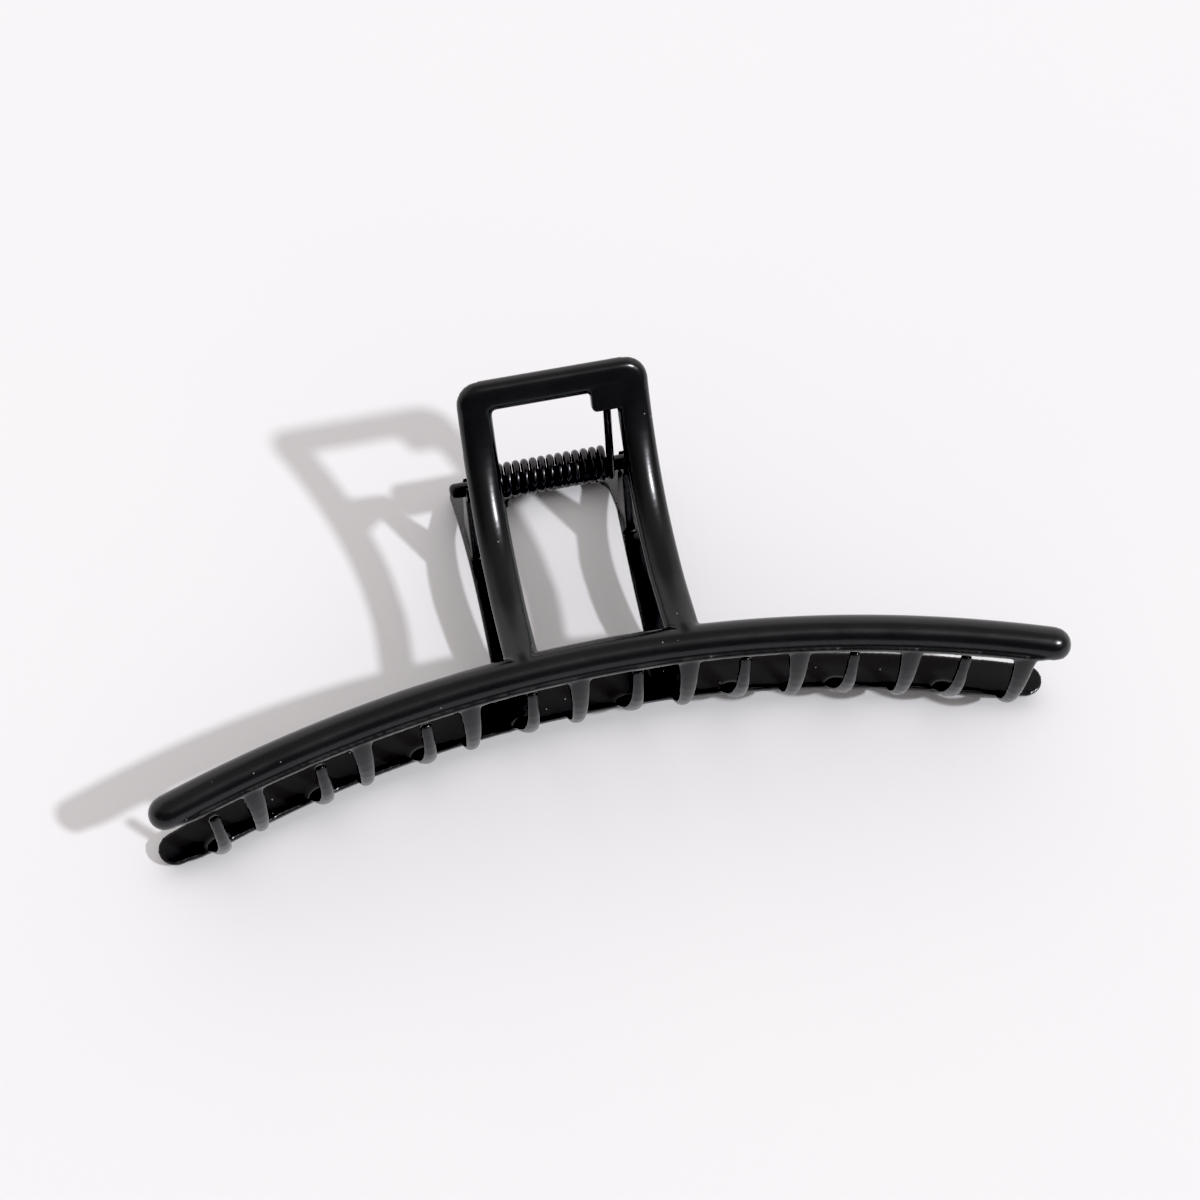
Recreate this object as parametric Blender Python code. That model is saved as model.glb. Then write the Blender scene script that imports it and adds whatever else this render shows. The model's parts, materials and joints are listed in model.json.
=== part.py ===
"""Claw hair clip with two curved toothed jaws, a hinge pin and a torsion spring.

Each jaw is one moulded piece: a D-section bar along an arc, eight teeth below it, a square
handle loop above it and two thin hinge webs. The rear jaw is the same moulding turned half round
about the clip's upright axis, with its bar bent a little higher. The closed clip lies on its rear
jaw: on that bar's ends and on the top edge of that handle.
"""
import bpy
import bmesh
from math import atan, atan2, ceil, cos, pi, radians, sin, sqrt
from mathutils import Matrix, Vector

MM = 0.001

# Bar: half length, sag at the ends, and the flat face's place in front of and below the hinge
BAR_HALF = 55.1
BAR_SAG = 9.5
BAR_DEPTH_BELOW = 26.76
BAR_FACE_OUT = 8.35
BAR_FACE_TURN_IN = 1.0
BAR_HEIGHT = 4.1
BAR_BULGE = 2.2
BAR_SIDE = 0.35
BAR_END_ROUND = 2.1
LIP_HEIGHT = 0.45
LIP_THICK = 1.1
# Rise of each bar over that line: level, slope and curve along the bar
FRONT_LIFT = (0.1, -0.1, 0.3)
REAR_LIFT = (0.92, -0.27, -0.68)

# Teeth: each jaw's row starts half a tooth's distance to one side, so that the two interleave
TEETH = 8
FRONT_PITCH = 13.38
FRONT_SHIFT = 0.267
REAR_PITCH = 13.17
REAR_SHIFT = 0.3
TOOTH_ROOT = 2.4
TOOTH_MID = 2.0
TOOTH_TIP = 1.15
TOOTH_THICK = 1.4
TOOTH_REACH = 14.6
TOOTH_DIP = 2.1
TOOTH_DROP = 0.7

# Handle loop: legs from the bar up to a top bar, in a D section that faces out
LEG_X_LOW = 9.7
LEG_X_TOP = 9.52
LEG_WIDTH = 4.1
LEG_BULGE = 1.55
LEG_SIDE = 0.35
LEG_WAIST_OUT = 6.4
LEG_WAIST_DOWN = 14.5
LEG_FLARE_TOP = 9.0
LEG_FLARE_POWER = 1.9
LEG_FLARE_LOW = 1.2
LEG_LOW_POWER = 2.0
HANDLE_TOP = 5.5
TOP_BAR = 3.75
CORNER_OUT = 2.8
CORNER_IN = 0.4

# Hinge webs: plates that carry the pin, nested side by side with the other jaw's
WEB_THICK = 1.15
WEB_RIGHT_X = 10.575
WEB_LEFT_X = -9.1
WEB_ROUND = 1.75
WEB_LIP = -0.2
WEB_LOW = -6.5
WEB_LEG_TOP = -1.9
PIN_RADIUS = 0.85
PIN_HALF = 12.5
PIN_SHIFT = -0.4
PIN_HOLE = 1.15

# Spring: close coil on the pin with one straight leg to each handle's rest
COIL_RADIUS = 1.75
COIL_RISE = 0.25
WIRE = 0.9
COIL_TURNS = 13
COIL_HALF = 7.0
SPRING_ARM = 13.9
SPRING_RISE = 23
SPRING_REST = (3.1, 2.2)

FLAT_SIDES = 8


def leg_out(z):
    """Distance of the handle's flat inner side from the clip's middle plane at height z."""
    rise = z + LEG_WAIST_DOWN
    if rise >= 0:
        share = rise / (HANDLE_TOP + LEG_WAIST_DOWN)
        return LEG_WAIST_OUT + LEG_FLARE_TOP * share ** LEG_FLARE_POWER
    share = -rise / (BAR_DEPTH_BELOW - LEG_WAIST_DOWN)
    return LEG_WAIST_OUT + LEG_FLARE_LOW * share ** LEG_LOW_POWER


def leg_slope(z):
    return (leg_out(z + 0.05) - leg_out(z - 0.05)) / 0.1


def leg_x(z):
    share = (z + BAR_DEPTH_BELOW) / (HANDLE_TOP + BAR_DEPTH_BELOW)
    return LEG_X_LOW + (LEG_X_TOP - LEG_X_LOW) * share


def bar_face(x, lift):
    """Point on the middle of the bar's flat inner face at x, for the front jaw."""
    u = x / BAR_HALF
    out = BAR_FACE_OUT - BAR_FACE_TURN_IN * u * u
    rise = lift[0] + lift[1] * u + lift[2] * u * u
    return Vector((x, -out, rise - BAR_DEPTH_BELOW - BAR_SAG * u * u))


def bar_down(x, lift):
    """Direction square to the bar's run, towards the teeth."""
    u = x / BAR_HALF
    slope = (lift[1] + 2 * (lift[2] - BAR_SAG) * u) / BAR_HALF
    return Vector((slope, 0, -1)).normalized()


def d_section(side, bulge, count=FLAT_SIDES):
    """Half-round outline as (across, out) pairs, across from -1 to 1."""
    points = [(-1.0, 0.0)]
    for i in range(count + 1):
        turn = pi * i / count
        points.append((-cos(turn), side + bulge * sin(turn)))
    points.append((1.0, 0.0))
    return points


def mesh_object(name, bm):
    bmesh.ops.recalc_face_normals(bm, faces=bm.faces)
    mesh = bpy.data.meshes.new(name)
    bm.to_mesh(mesh)
    bm.free()
    obj = bpy.data.objects.new(name, mesh)
    tools.objects.link(obj)
    return obj


def loft(name, rings):
    """Solid through rings of points in millimetres, with a cap on the first and the last."""
    bm = bmesh.new()
    rows = [[bm.verts.new(Vector(p) * MM) for p in ring] for ring in rings]
    for low, high in zip(rows, rows[1:]):
        for i in range(len(low)):
            j = (i + 1) % len(low)
            bm.faces.new((low[i], low[j], high[j], high[i]))
    bm.faces.new(rows[0])
    bm.faces.new(rows[-1])
    return mesh_object(name, bm)


def plate(name, outline, x_middle, thick):
    """Flat plate square to X from a curve outline in (y, z), extruded half its thickness each way."""
    curve = bpy.data.curves.new(name, "CURVE")
    curve.dimensions = "2D"
    curve.fill_mode = "BOTH"
    curve.extrude = thick / 2 * MM
    line = curve.splines.new("POLY")
    line.points.add(len(outline) - 1)
    for point, (y, z) in zip(line.points, outline):
        point.co = (y * MM, z * MM, 0, 1)
    line.use_cyclic_u = True
    obj = bpy.data.objects.new(name, curve)
    upright = Matrix(((0, 0, 1, 0), (1, 0, 0, 0), (0, 1, 0, 0), (0, 0, 0, 1)))
    obj.matrix_world = Matrix.Translation((x_middle * MM, 0, 0)) @ upright
    tools.objects.link(obj)
    return made_mesh(obj)


def made_mesh(obj):
    """The curve object as a closed mesh object in its place."""
    bpy.context.view_layer.update()
    mesh = bpy.data.meshes.new_from_object(obj.evaluated_get(bpy.context.evaluated_depsgraph_get()))
    bm = bmesh.new()
    bm.from_mesh(mesh)
    bmesh.ops.remove_doubles(bm, verts=bm.verts, dist=0.000001)
    bm.transform(obj.matrix_world)
    name = obj.name
    bpy.data.meshes.remove(mesh)
    bpy.data.objects.remove(obj)
    return mesh_object(name, bm)


def block(name, size, place):
    bm = bmesh.new()
    bmesh.ops.create_cube(bm, size=1)
    scaled = Matrix.Diagonal((*[s * MM for s in size], 1))
    bmesh.ops.transform(bm, verts=bm.verts, matrix=place @ scaled)
    return mesh_object(name, bm)


def rod(name, radius, half, sides):
    """Cylinder along X."""
    bm = bmesh.new()
    turned = Matrix.Rotation(pi / 2, 4, "Y")
    bmesh.ops.create_cone(bm, cap_ends=True, segments=sides, radius1=radius * MM, radius2=radius * MM,
                          depth=2 * half * MM, matrix=turned)
    return mesh_object(name, bm)


def bar(lift):
    """D-section bar with round ends; each ring lies square to the arc."""
    section = d_section(BAR_SIDE, BAR_BULGE)
    steps = [1 - BAR_END_ROUND / BAR_HALF * (1 - sin(radians(a))) for a in (75, 45, 20, 0)]
    scales = [cos(radians(a)) for a in (75, 45, 20, 0)]
    inner = [i / 12 for i in range(-11, 12)]
    stations = [(-u, s) for u, s in zip(steps, scales)] + [(u, 1) for u in inner]
    stations += [(u, s) for u, s in reversed(list(zip(steps, scales)))]
    rings = []
    for u, scale in stations:
        x = u * BAR_HALF
        middle, down = bar_face(x, lift), bar_down(x, lift)
        height = BAR_HEIGHT / 2 * scale
        rings.append([middle - down * (a * height) + Vector((0, -o * scale, 0)) for a, o in section])
    return loft("bar", rings)


def lip(lift):
    """Thin edge that stands out below the bar, from which the teeth grow."""
    reach = BAR_HALF - 1.6
    rings = []
    for i in range(-12, 13):
        x = i / 12 * reach
        middle, down = bar_face(x, lift), bar_down(x, lift)
        low = BAR_HEIGHT / 2 + LIP_HEIGHT
        corners = ((1.2, -0.02), (low, -0.02), (low, -LIP_THICK), (1.2, -LIP_THICK))
        rings.append([middle + down * d + Vector((0, o, 0)) for d, o in corners])
    return loft("lip", rings)


def tooth(index, x, lift):
    """Tapered tooth that crosses in a shallow arc to the other bar."""
    middle, down = bar_face(x, lift), bar_down(x, lift)
    along = Vector((-down.z, 0, down.x))
    start = middle + down * (BAR_HEIGHT / 2 - 0.35) + Vector((0, -0.6, 0))
    rings = []
    count = 9
    for i in range(count + 1):
        s = i / count
        run = s * TOOTH_REACH
        dip = TOOTH_DIP * 4 * s * (1 - s) + TOOTH_DROP * min(1, 1.5 * s)
        rise = TOOTH_DIP * 4 * (1 - 2 * s) / TOOTH_REACH
        tilt = atan(rise)
        normal = (down * cos(tilt) + Vector((0, -sin(tilt), 0))).normalized()
        centre = start + Vector((0, run, 0)) + down * dip
        width = TOOTH_ROOT + (TOOTH_MID - TOOTH_ROOT) * min(1, s / 0.25)
        width -= (TOOTH_MID - TOOTH_TIP) * max(0, (s - 0.25) / 0.75) ** 0.7
        thick = TOOTH_THICK * (1 - 0.35 * s)
        ring = []
        for k in range(8):
            turn = 2 * pi * (k + 0.5) / 8
            ring.append(centre + along * (width / 2 * cos(turn)) + normal * (thick / 2 * sin(turn)))
        rings.append(ring)
    return loft("tooth_%d" % index, rings)


def corner_reach(turn, wide, high):
    """Distance from the window's corner centre to the round outer corner, at an angle from X."""
    cx, cy = wide - CORNER_OUT, high - CORNER_OUT
    c, s = cos(turn), sin(turn)
    if turn <= atan2(cy, wide):
        return wide / c
    if turn >= atan2(high, cx):
        return high / s
    dot = c * cx + s * cy
    return dot + sqrt(dot * dot - cx * cx - cy * cy + CORNER_OUT ** 2)


def handle():
    """Handle loop: right leg up, fan round the corner, top bar, and the same mirrored down."""
    section = d_section(LEG_SIDE, LEG_BULGE)
    slope = leg_slope(HANDLE_TOP)
    up = Vector((0, -slope, 1)).normalized()
    out = Vector((0, -up.z, up.y))
    window_top = HANDLE_TOP - TOP_BAR / 2 * up.z
    half = []
    low = -BAR_DEPTH_BELOW + 0.3
    pivot_z = window_top - CORNER_IN * up.z
    count = 15
    for i in range(count + 1):
        z = low + (pivot_z - low) * i / count
        place = Vector((leg_x(z), -leg_out(z), z))
        run = Vector((0, -leg_slope(z), 1)).normalized()
        face = Vector((0, -run.z, run.y))
        half.append([place + Vector((a * LEG_WIDTH / 2, 0, 0)) + face * o for a, o in section])
    pivot = Vector((leg_x(pivot_z) - LEG_WIDTH / 2 - CORNER_IN, -leg_out(pivot_z), pivot_z))
    wide, high = LEG_WIDTH + CORNER_IN, TOP_BAR + CORNER_IN
    for degrees in (15, 30, 45, 60, 75, 90):
        turn = radians(degrees)
        away = Vector((cos(turn), 0, 0)) + up * sin(turn)
        far = corner_reach(turn, wide, high)
        middle, reach = (far + CORNER_IN) / 2, (far - CORNER_IN) / 2
        half.append([pivot + away * (middle + a * reach) + out * o for a, o in section])
    other = [[Vector((-p.x, p.y, p.z)) for p in ring] for ring in reversed(half)]
    return loft("handle", half + other)


def web_outline():
    """Outline in (y, z) of a hinge web of the front jaw: an arm that hooks round the pin from below."""
    points = [(-leg_out(WEB_LOW) - 0.7, WEB_LOW), (-leg_out(WEB_LOW) + 0.1, WEB_LOW)]
    for degrees in (-120, -95, -70, -45, -20):
        turn = radians(degrees)
        points.append((WEB_ROUND * cos(turn), WEB_ROUND * sin(turn)))
    points += [(sqrt(WEB_ROUND ** 2 - WEB_LIP ** 2), WEB_LIP), (0, WEB_LIP), (0, WEB_ROUND)]
    steps = 4
    for i in range(steps):
        z = WEB_LEG_TOP + (WEB_LOW - WEB_LEG_TOP) * i / steps
        points.append((-leg_out(z) - 0.7, z))
    return points


def spring_rest():
    """Small rest for the spring's leg in the window's upper right corner."""
    slope = leg_slope(HANDLE_TOP)
    up = Vector((0, -slope, 1)).normalized()
    out = Vector((0, -up.z, up.y))
    wide, high = SPRING_REST
    z = HANDLE_TOP - (TOP_BAR / 2 + high / 2 - 0.5) * up.z
    x = leg_x(z) - LEG_WIDTH / 2 - wide / 2 + 0.5
    middle = Vector((x, -leg_out(z), z)) + out * 0.9
    axes = Matrix((Vector((1, 0, 0)), up, out)).transposed().to_4x4()
    return block("rest", (wide + 1.0, high + 1.0, 1.5), Matrix.Translation(middle * MM) @ axes)


def joined(name, pieces, cutters):
    """One closed mesh from overlapping pieces, less the cutters."""
    body = pieces[0]
    for piece in pieces[1:]:
        cut = body.modifiers.new("join", "BOOLEAN")
        cut.operation = "UNION"
        cut.object = piece
    for piece in cutters:
        cut = body.modifiers.new("hole", "BOOLEAN")
        cut.operation = "DIFFERENCE"
        cut.object = piece
    bpy.context.view_layer.update()
    mesh = bpy.data.meshes.new_from_object(body.evaluated_get(bpy.context.evaluated_depsgraph_get()))
    mesh.name = name
    bm = bmesh.new()
    bm.from_mesh(mesh)
    bmesh.ops.remove_doubles(bm, verts=bm.verts, dist=0.00001)
    bmesh.ops.dissolve_degenerate(bm, edges=bm.edges, dist=0.00001)
    bm.to_mesh(mesh)
    bm.free()
    for piece in pieces + cutters:
        bpy.data.objects.remove(piece)
    return mesh


def spring_points():
    """Line of the spring's wire in the clip's frame, from the rear handle's rest to the front's."""
    lean = radians(90 - SPRING_RISE)
    first = 2 * pi - lean
    turns = COIL_TURNS * 2 * pi + (pi - 2 * lean)
    count = ceil(COIL_TURNS * 9)
    coil = []
    for i in range(count + 1):
        turn = first - turns * i / count
        x = -COIL_HALF + 2 * COIL_HALF * i / count
        coil.append(Vector((x, COIL_RADIUS * cos(turn), COIL_RISE + COIL_RADIUS * sin(turn))))
    arm = Vector((0, sin(lean), cos(lean)))
    left = coil[0] + arm * SPRING_ARM
    right = coil[-1] + Vector((0, -arm.y, arm.z)) * SPRING_ARM
    return [left] + coil + [right]


def moulded_jaw(name, lift, pitch, shift):
    pieces = [handle(), bar(lift), lip(lift), spring_rest()]
    for i, x in enumerate((WEB_RIGHT_X, WEB_LEFT_X)):
        pieces.append(plate("web_%d" % i, web_outline(), x, WEB_THICK))
    pieces += [tooth(i, (i - TEETH / 2 + 1 - shift) * pitch, lift) for i in range(TEETH)]
    return joined(name, pieces, [rod("pin_hole", PIN_HOLE, 14, 20)])


def material(name, colour, roughness, metallic):
    made = bpy.data.materials.new(name)
    made.use_nodes = True
    shader = made.node_tree.nodes["Principled BSDF"]
    shader.inputs["Base Color"].default_value = (*colour, 1)
    shader.inputs["Roughness"].default_value = roughness
    shader.inputs["Metallic"].default_value = metallic
    made.diffuse_color = (*colour, 1)
    return made


def resting_turn(mesh):
    """Turn about X that lays the rear jaw's bar ends and handle top on one level."""
    points = [(-v.co.y, v.co.z) for v in mesh.vertices]
    high = [p for p in points if p[1] > 0]
    low = [p for p in points if p[1] < -0.02]
    near, far = 0.0, 0.6
    for _ in range(40):
        lean = (near + far) / 2
        reach = [max(y * cos(lean) - z * sin(lean) for y, z in part) for part in (high, low)]
        if reach[0] > reach[1]:
            near = lean
        else:
            far = lean
    return lean


for old in list(bpy.data.objects):
    bpy.data.objects.remove(old)

scene = bpy.context.scene
clip = bpy.data.collections.new("claw_clip")
tools = bpy.data.collections.new("cutters")
scene.collection.children.link(clip)
scene.collection.children.link(tools)

jaw_front = moulded_jaw("front_jaw", FRONT_LIFT, FRONT_PITCH, FRONT_SHIFT)
jaw_rear = moulded_jaw("rear_jaw", REAR_LIFT, REAR_PITCH, REAR_SHIFT)

plastic = material("black_plastic", (0.012, 0.012, 0.013), 0.42, 0.0)
plastic_rear = material("black_plastic_rear", (0.012, 0.012, 0.013), 0.42, 0.0)
steel = material("black_steel_pin", (0.03, 0.03, 0.03), 0.3, 0.9)
wire_steel = material("black_steel_wire", (0.025, 0.025, 0.025), 0.3, 0.9)

lean = resting_turn(jaw_rear)
frame = bpy.data.objects.new("clip_frame", None)
clip.objects.link(frame)
frame.rotation_euler = (-(pi / 2 - lean), 0, 0)

front = bpy.data.objects.new("front_jaw", jaw_front)
front.data.materials.append(plastic)
rear = bpy.data.objects.new("rear_jaw", jaw_rear)
rear.data.materials.append(plastic_rear)
rear.rotation_euler = (0, 0, pi)

pin = rod("hinge_pin", PIN_RADIUS, PIN_HALF, 20)
pin.location = (PIN_SHIFT * MM, 0, 0)
pin.data.materials.append(steel)
tools.objects.unlink(pin)

line = spring_points()
wire = bpy.data.curves.new("spring", "CURVE")
wire.dimensions = "3D"
wire.bevel_depth = WIRE / 2 * MM
wire.bevel_resolution = 2
wire.use_fill_caps = True
run = wire.splines.new("POLY")
run.points.add(len(line) - 1)
for point, place in zip(run.points, line):
    point.co = (*(place * MM), 1)
wire.materials.append(wire_steel)
spring = bpy.data.objects.new("spring", wire)

for obj in (front, rear, pin, spring):
    clip.objects.link(obj)
    obj.parent = frame
for mesh in (front.data, rear.data, pin.data):
    mesh.shade_smooth()
    mesh.set_sharp_from_angle(angle=radians(32))
bpy.data.collections.remove(tools)

bpy.context.view_layer.update()
corners = []
for obj in (front, rear):
    corners += [obj.matrix_world @ v.co for v in obj.data.vertices]
lows = [min(c[i] for c in corners) for i in range(3)]
highs = [max(c[i] for c in corners) for i in range(3)]
frame.location = (-(lows[0] + highs[0]) / 2, -(lows[1] + highs[1]) / 2, -lows[2])
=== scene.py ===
"""Looks of the claw hair clip: moulded jaws, hinge pin, coil spring, materials, table and studio light.

Each piece is modelled in the clip's own frame: the origin is on the hinge, X runs along the clip, -Y is
the front jaw's outer side and +Z points to the handles' tops. lay_down() then turns it into the frame
that the CAD model lies in. Lengths are in millimetres where nothing else is said, and the helpers turn
them to metres.
"""

import json
from math import atan, atan2, cos, pi, radians, sin, sqrt

import bmesh
import bpy
from mathutils import Matrix, Vector


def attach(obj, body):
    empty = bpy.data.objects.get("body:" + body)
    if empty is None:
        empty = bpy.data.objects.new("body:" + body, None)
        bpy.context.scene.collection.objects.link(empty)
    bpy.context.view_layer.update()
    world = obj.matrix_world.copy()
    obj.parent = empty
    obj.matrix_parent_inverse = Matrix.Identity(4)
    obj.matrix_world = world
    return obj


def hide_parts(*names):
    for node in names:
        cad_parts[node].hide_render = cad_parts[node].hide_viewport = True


MM = 0.001

# Points nearer than this are one point, in metres
TOUCH = 1e-6

# The clip lies on its rear jaw: its frame is turned this far about X, at the hinge
RESTING_TURN = -1.39157223701477

# Bar of a jaw
BAR_HALF = 55.1
BAR_SAG = 9.5
BAR_DEPTH_BELOW = 26.76
BAR_FACE_OUT = 8.35
BAR_FACE_TURN_IN = 1.0
BAR_HEIGHT = 4.1
BAR_BULGE = 2.2
BAR_SIDE = 0.35
BAR_SECTION_STEPS = 20
BAR_STATIONS = 28
BAR_END_ROUND = 2.1
BAR_END_ANGLES = (85, 70, 55, 40, 20, 0)
# Each bar's small rise over that line, as level, slope and curve along the bar
FRONT_LIFT = (0.1, -0.1, 0.3)
REAR_LIFT = (0.92, -0.27, -0.68)

# Lip below the bar, which shrinks at its two ends
LIP_HEIGHT = 0.45
LIP_THICK = 1.1
LIP_BEHIND_FACE = 0.02
LIP_START = 1.2
LIP_STATIONS = 24
LIP_SHORTER = 1.6
LIP_FADE = 4
LIP_FADE_SHARES = (0, 0.15, 0.35, 0.6, 1)
LIP_END_SIZE = 0.72

# Teeth below the bar
TEETH = 8
FRONT_PITCH = 13.38
FRONT_SHIFT = 0.267
REAR_PITCH = 13.17
REAR_SHIFT = 0.3
TOOTH_ROOT = 3.9
TOOTH_NECK = 2.6
TOOTH_MID = 2.25
TOOTH_TIP = 1.5
TOOTH_THICK = 1.45
TOOTH_REACH = 14.6
TOOTH_DIP = 2.1
TOOTH_DROP = 0.7
TOOTH_DROP_RATE = 1.5
TOOTH_SIDES = 12
TOOTH_BEHIND_FACE = 0.6
TOOTH_SINK = 0.35
TOOTH_THINNING = 0.35
TOOTH_END_SIZE = 0.88
# Shares of a tooth's length: its stations, and where its width comes to neck, middle and tip
TOOTH_STATIONS = (0.02, 0.05, 0.09, 0.14, 0.22, 0.32, 0.43, 0.54, 0.65, 0.76, 0.86, 0.94, 0.98, 1.0)
NECK_AT = 0.1
MID_AT = 0.25
TIP_AT = 0.8
TAPER_POWER = 0.8

# Handle loop: its legs from the top to the foot in the bar, by their height over the hinge
LEG_X_LOW = 9.7
LEG_X_TOP = 9.52
LEG_HALF = 2.05
LEG_SIDE = 0.3
LEG_CROWN = 1.85
LEG_SECTION_STEPS = 14
LEG_STATIONS = 30
FLAT_FROM = 1.4
TOP_SWELL = 0.25
ROUND_FROM = 3.0
ROUND_TO = -5.5
LEG_WAIST_OUT = 6.4
LEG_WAIST_DOWN = 14.5
LEG_FLARE_TOP = 9.0
LEG_FLARE_POWER = 2.08
LEG_FLARE_LOW = 1.2
LEG_LOW_POWER = 2.0
LEG_END_RISE = 0.3
SLOPE_STEP = 0.05
FOOT_FROM = -17.5
FOOT_LOW = -25.3
FOOT_OUT = 0.9
SWELL_FROM = -21.8
FOOT_SWELL = 1.1
HANDLE_TOP = 5.5
TOP_BAR = 3.75
TOP_STATIONS = 3
CORNER_OUT = 2.8
CORNER_IN = 0.5
CORNER_STEP = 10

# Cut on the window side of the rear legs beside the hinge, the heights between which it is full, and
# those at which it ends
REAR_WAIST = 0.85
WAIST_END_HIGH = 3.7
WAIST_FULL_HIGH = 2.0
WAIST_FULL_LOW = -2
WAIST_END_LOW = -16
WAIST_LOW_POWER = 1.9

# Tab in the window's corner for the spring's arm
REST_WIDE = 3.1
REST_HIGH = 2.2
REST_THICK = 1.3
REST_SINK = 1.0
REST_OUT = 0.15
REST_ROUND = 0.5

# Hinge ears and pin
EAR_THICK = 1.15
EAR_PLACES = (10.575, -9.1)
EAR_FOOT = -6.5
EAR_FOOT_STEP = 0.1
EAR_TOP = -1.9
EAR_SINK = 0.7
EAR_LIP = -0.25
EAR_ROUND = 1.45
EAR_ROUND_ANGLES = range(-120, -11, 12)
EAR_HOLE = 0.98
EAR_HOLE_SIDES = 32
PIN_RADIUS = 0.92
PIN_SIDES = 40
PIN_HALF = 12.5
PIN_SHIFT = -0.4
PIN_ROUND = 0.6
PIN_SMOOTH_UNDER = radians(40)

# Spring: each arm leans from upright, and the coil winds from one arm round to the other
COIL_RADIUS = 1.75
COIL_RISE = 0.25
COIL_HALF = 7.0
COIL_STEPS = 26
WHOLE_TURNS = 13
ARM_LENGTH = 13.9
ARM_LEAN = radians(67)
ARM_LEAN_IN = 0.5
COIL_TURNS = WHOLE_TURNS + (pi - 2 * ARM_LEAN) / (2 * pi)
COIL_PITCH = 2 * COIL_HALF / COIL_TURNS
WIRE_RADIUS = 0.49
WIRE_SIDES = 12
WIRE_END_REACH = 0.52
WIRE_TIP = ((0.14, 0.9), (0.1, 0.72))
WIRE_SMOOTH_UNDER = radians(50)

# Fusing of a moulding
VOXEL = 0.2
SMOOTHING = 6
SMOOTH_FACTOR = 0.5

# Finishes
PLASTIC_DEEP = (0.0050, 0.0064, 0.0068)
PLASTIC_PALE = (0.0074, 0.0088, 0.0093)
PLASTIC_DUST = (0.3, 0.29, 0.28)
PLASTIC_SHINE = 0.7
WIRE_BRIGHT = (0.082, 0.082, 0.085)
WIRE_ROUGH = 0.27
PIN_BRIGHT = (0.075, 0.075, 0.075)
PIN_ROUGH = 0.34
OXIDE_SHADE = 0.75
OXIDE_SMOOTHER = 0.04
OXIDE_ROUGHER = 0.05
BOARD_DEEP = (0.80, 0.80, 0.81)
BOARD_PALE = (0.815, 0.812, 0.815)
BOARD_SPECK = (0.62, 0.60, 0.58)
BOARD_ROUGH = 0.6

# Camera in the clip's frame. Its focal length is in pixels of the picture, and its sight in metres
CAMERA_PLACE = Vector((-44.7673, -315.7397, -116.9103))
CAMERA_RIGHT = Vector((0.9735901696498713, -0.07682347199318923, -0.21498915254506798))
CAMERA_DOWN = Vector((-0.18003728224004759, 0.3207091446957129, -0.9299097921369373))
CAMERA_FORWARD = Vector((0.1403878861040093, 0.9440570950209823, 0.298408181482666))
CAMERA_FOCAL = 2760.85
PICTURE_SIDE = 1200
FILM_WIDTH = 36
NEAREST_SEEN = 0.01
FARTHEST_SEEN = 20
BLACK_LEVEL = 0.0345

# Table, with its side in metres, and light: a key lamp, and a room with a bright back wall and a dimmer
# ceiling
TABLE_SIDE = 6
KEY_DIRECTION = Vector((0.485, -0.436, 0.758))
KEY_STRENGTH = 1.74
KEY_SPREAD = radians(2.9)
KEY_COLOUR = (0.98, 0.99, 1.04)
ROOM_COLOUR = (1.0, 0.958, 0.955, 1)
FRONT_WALL_TO = -0.3
BACK_WALL_FROM = 0.6
ROOM_WALL_TOP = 0.6
ROOM_CEILING = 0.92
FRONT_WALL_LIGHT = 0.56
BACK_WALL_LIGHT = 1.12
CEILING_LIGHT = 0.71

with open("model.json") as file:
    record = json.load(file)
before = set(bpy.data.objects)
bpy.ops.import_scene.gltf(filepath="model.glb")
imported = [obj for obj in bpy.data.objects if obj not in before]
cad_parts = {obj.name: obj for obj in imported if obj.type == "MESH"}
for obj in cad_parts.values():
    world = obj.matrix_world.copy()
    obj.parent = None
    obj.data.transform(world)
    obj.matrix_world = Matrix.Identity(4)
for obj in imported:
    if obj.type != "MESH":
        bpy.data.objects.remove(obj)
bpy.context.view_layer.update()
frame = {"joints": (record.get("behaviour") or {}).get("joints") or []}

hinge = Vector(frame["joints"][0]["pos_m"])
clip_place = Matrix.Translation(hinge) @ Matrix.Rotation(RESTING_TURN, 4, "X")


# Modelling helpers

def deselect_everything():
    """Leaves edit mode and selects nothing."""
    if bpy.context.mode != "OBJECT":
        bpy.ops.object.mode_set(mode="OBJECT")
    bpy.ops.object.select_all(action="DESELECT")


def take_up(piece):
    """Makes this the one piece that is selected and worked on."""
    deselect_everything()
    piece.select_set(True)
    bpy.context.view_layer.objects.active = piece


def open_piece(name):
    """Names the primitive that was just added and opens it for editing, all of it selected."""
    piece = bpy.context.active_object
    piece.name = name
    bpy.ops.object.mode_set(mode="EDIT")
    bpy.ops.mesh.select_mode(type="VERT")
    return piece


def pick(piece, wanted):
    """Selects the points that are wanted, and the edges and faces between them."""
    bpy.ops.mesh.select_all(action="DESELECT")
    drawn = bmesh.from_edit_mesh(piece.data)
    for point in drawn.verts:
        point.select = wanted(point)
    drawn.select_flush(True)
    bmesh.update_edit_mesh(piece.data)


def picked(piece, kept):
    """Numbers of the selected points that are also kept."""
    drawn = bmesh.from_edit_mesh(piece.data)
    return {point.index for point in drawn.verts if point.select and kept(point)}


def blank(name, corners):
    """Flat filled blank in X and Y with its corners at these places, in millimetres."""
    deselect_everything()
    bpy.ops.mesh.primitive_circle_add(vertices=len(corners), radius=MM, fill_type="NGON")
    piece = open_piece(name)
    places = [point.co.copy() for point in piece.data.vertices]
    for start, (x, y) in zip(places, corners):
        pick(piece, lambda point: (point.co - start).length < TOUCH)
        bpy.ops.transform.translate(value=Vector((x * MM, y * MM, 0)) - start)
    bpy.ops.mesh.select_all(action="SELECT")
    return piece


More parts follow.
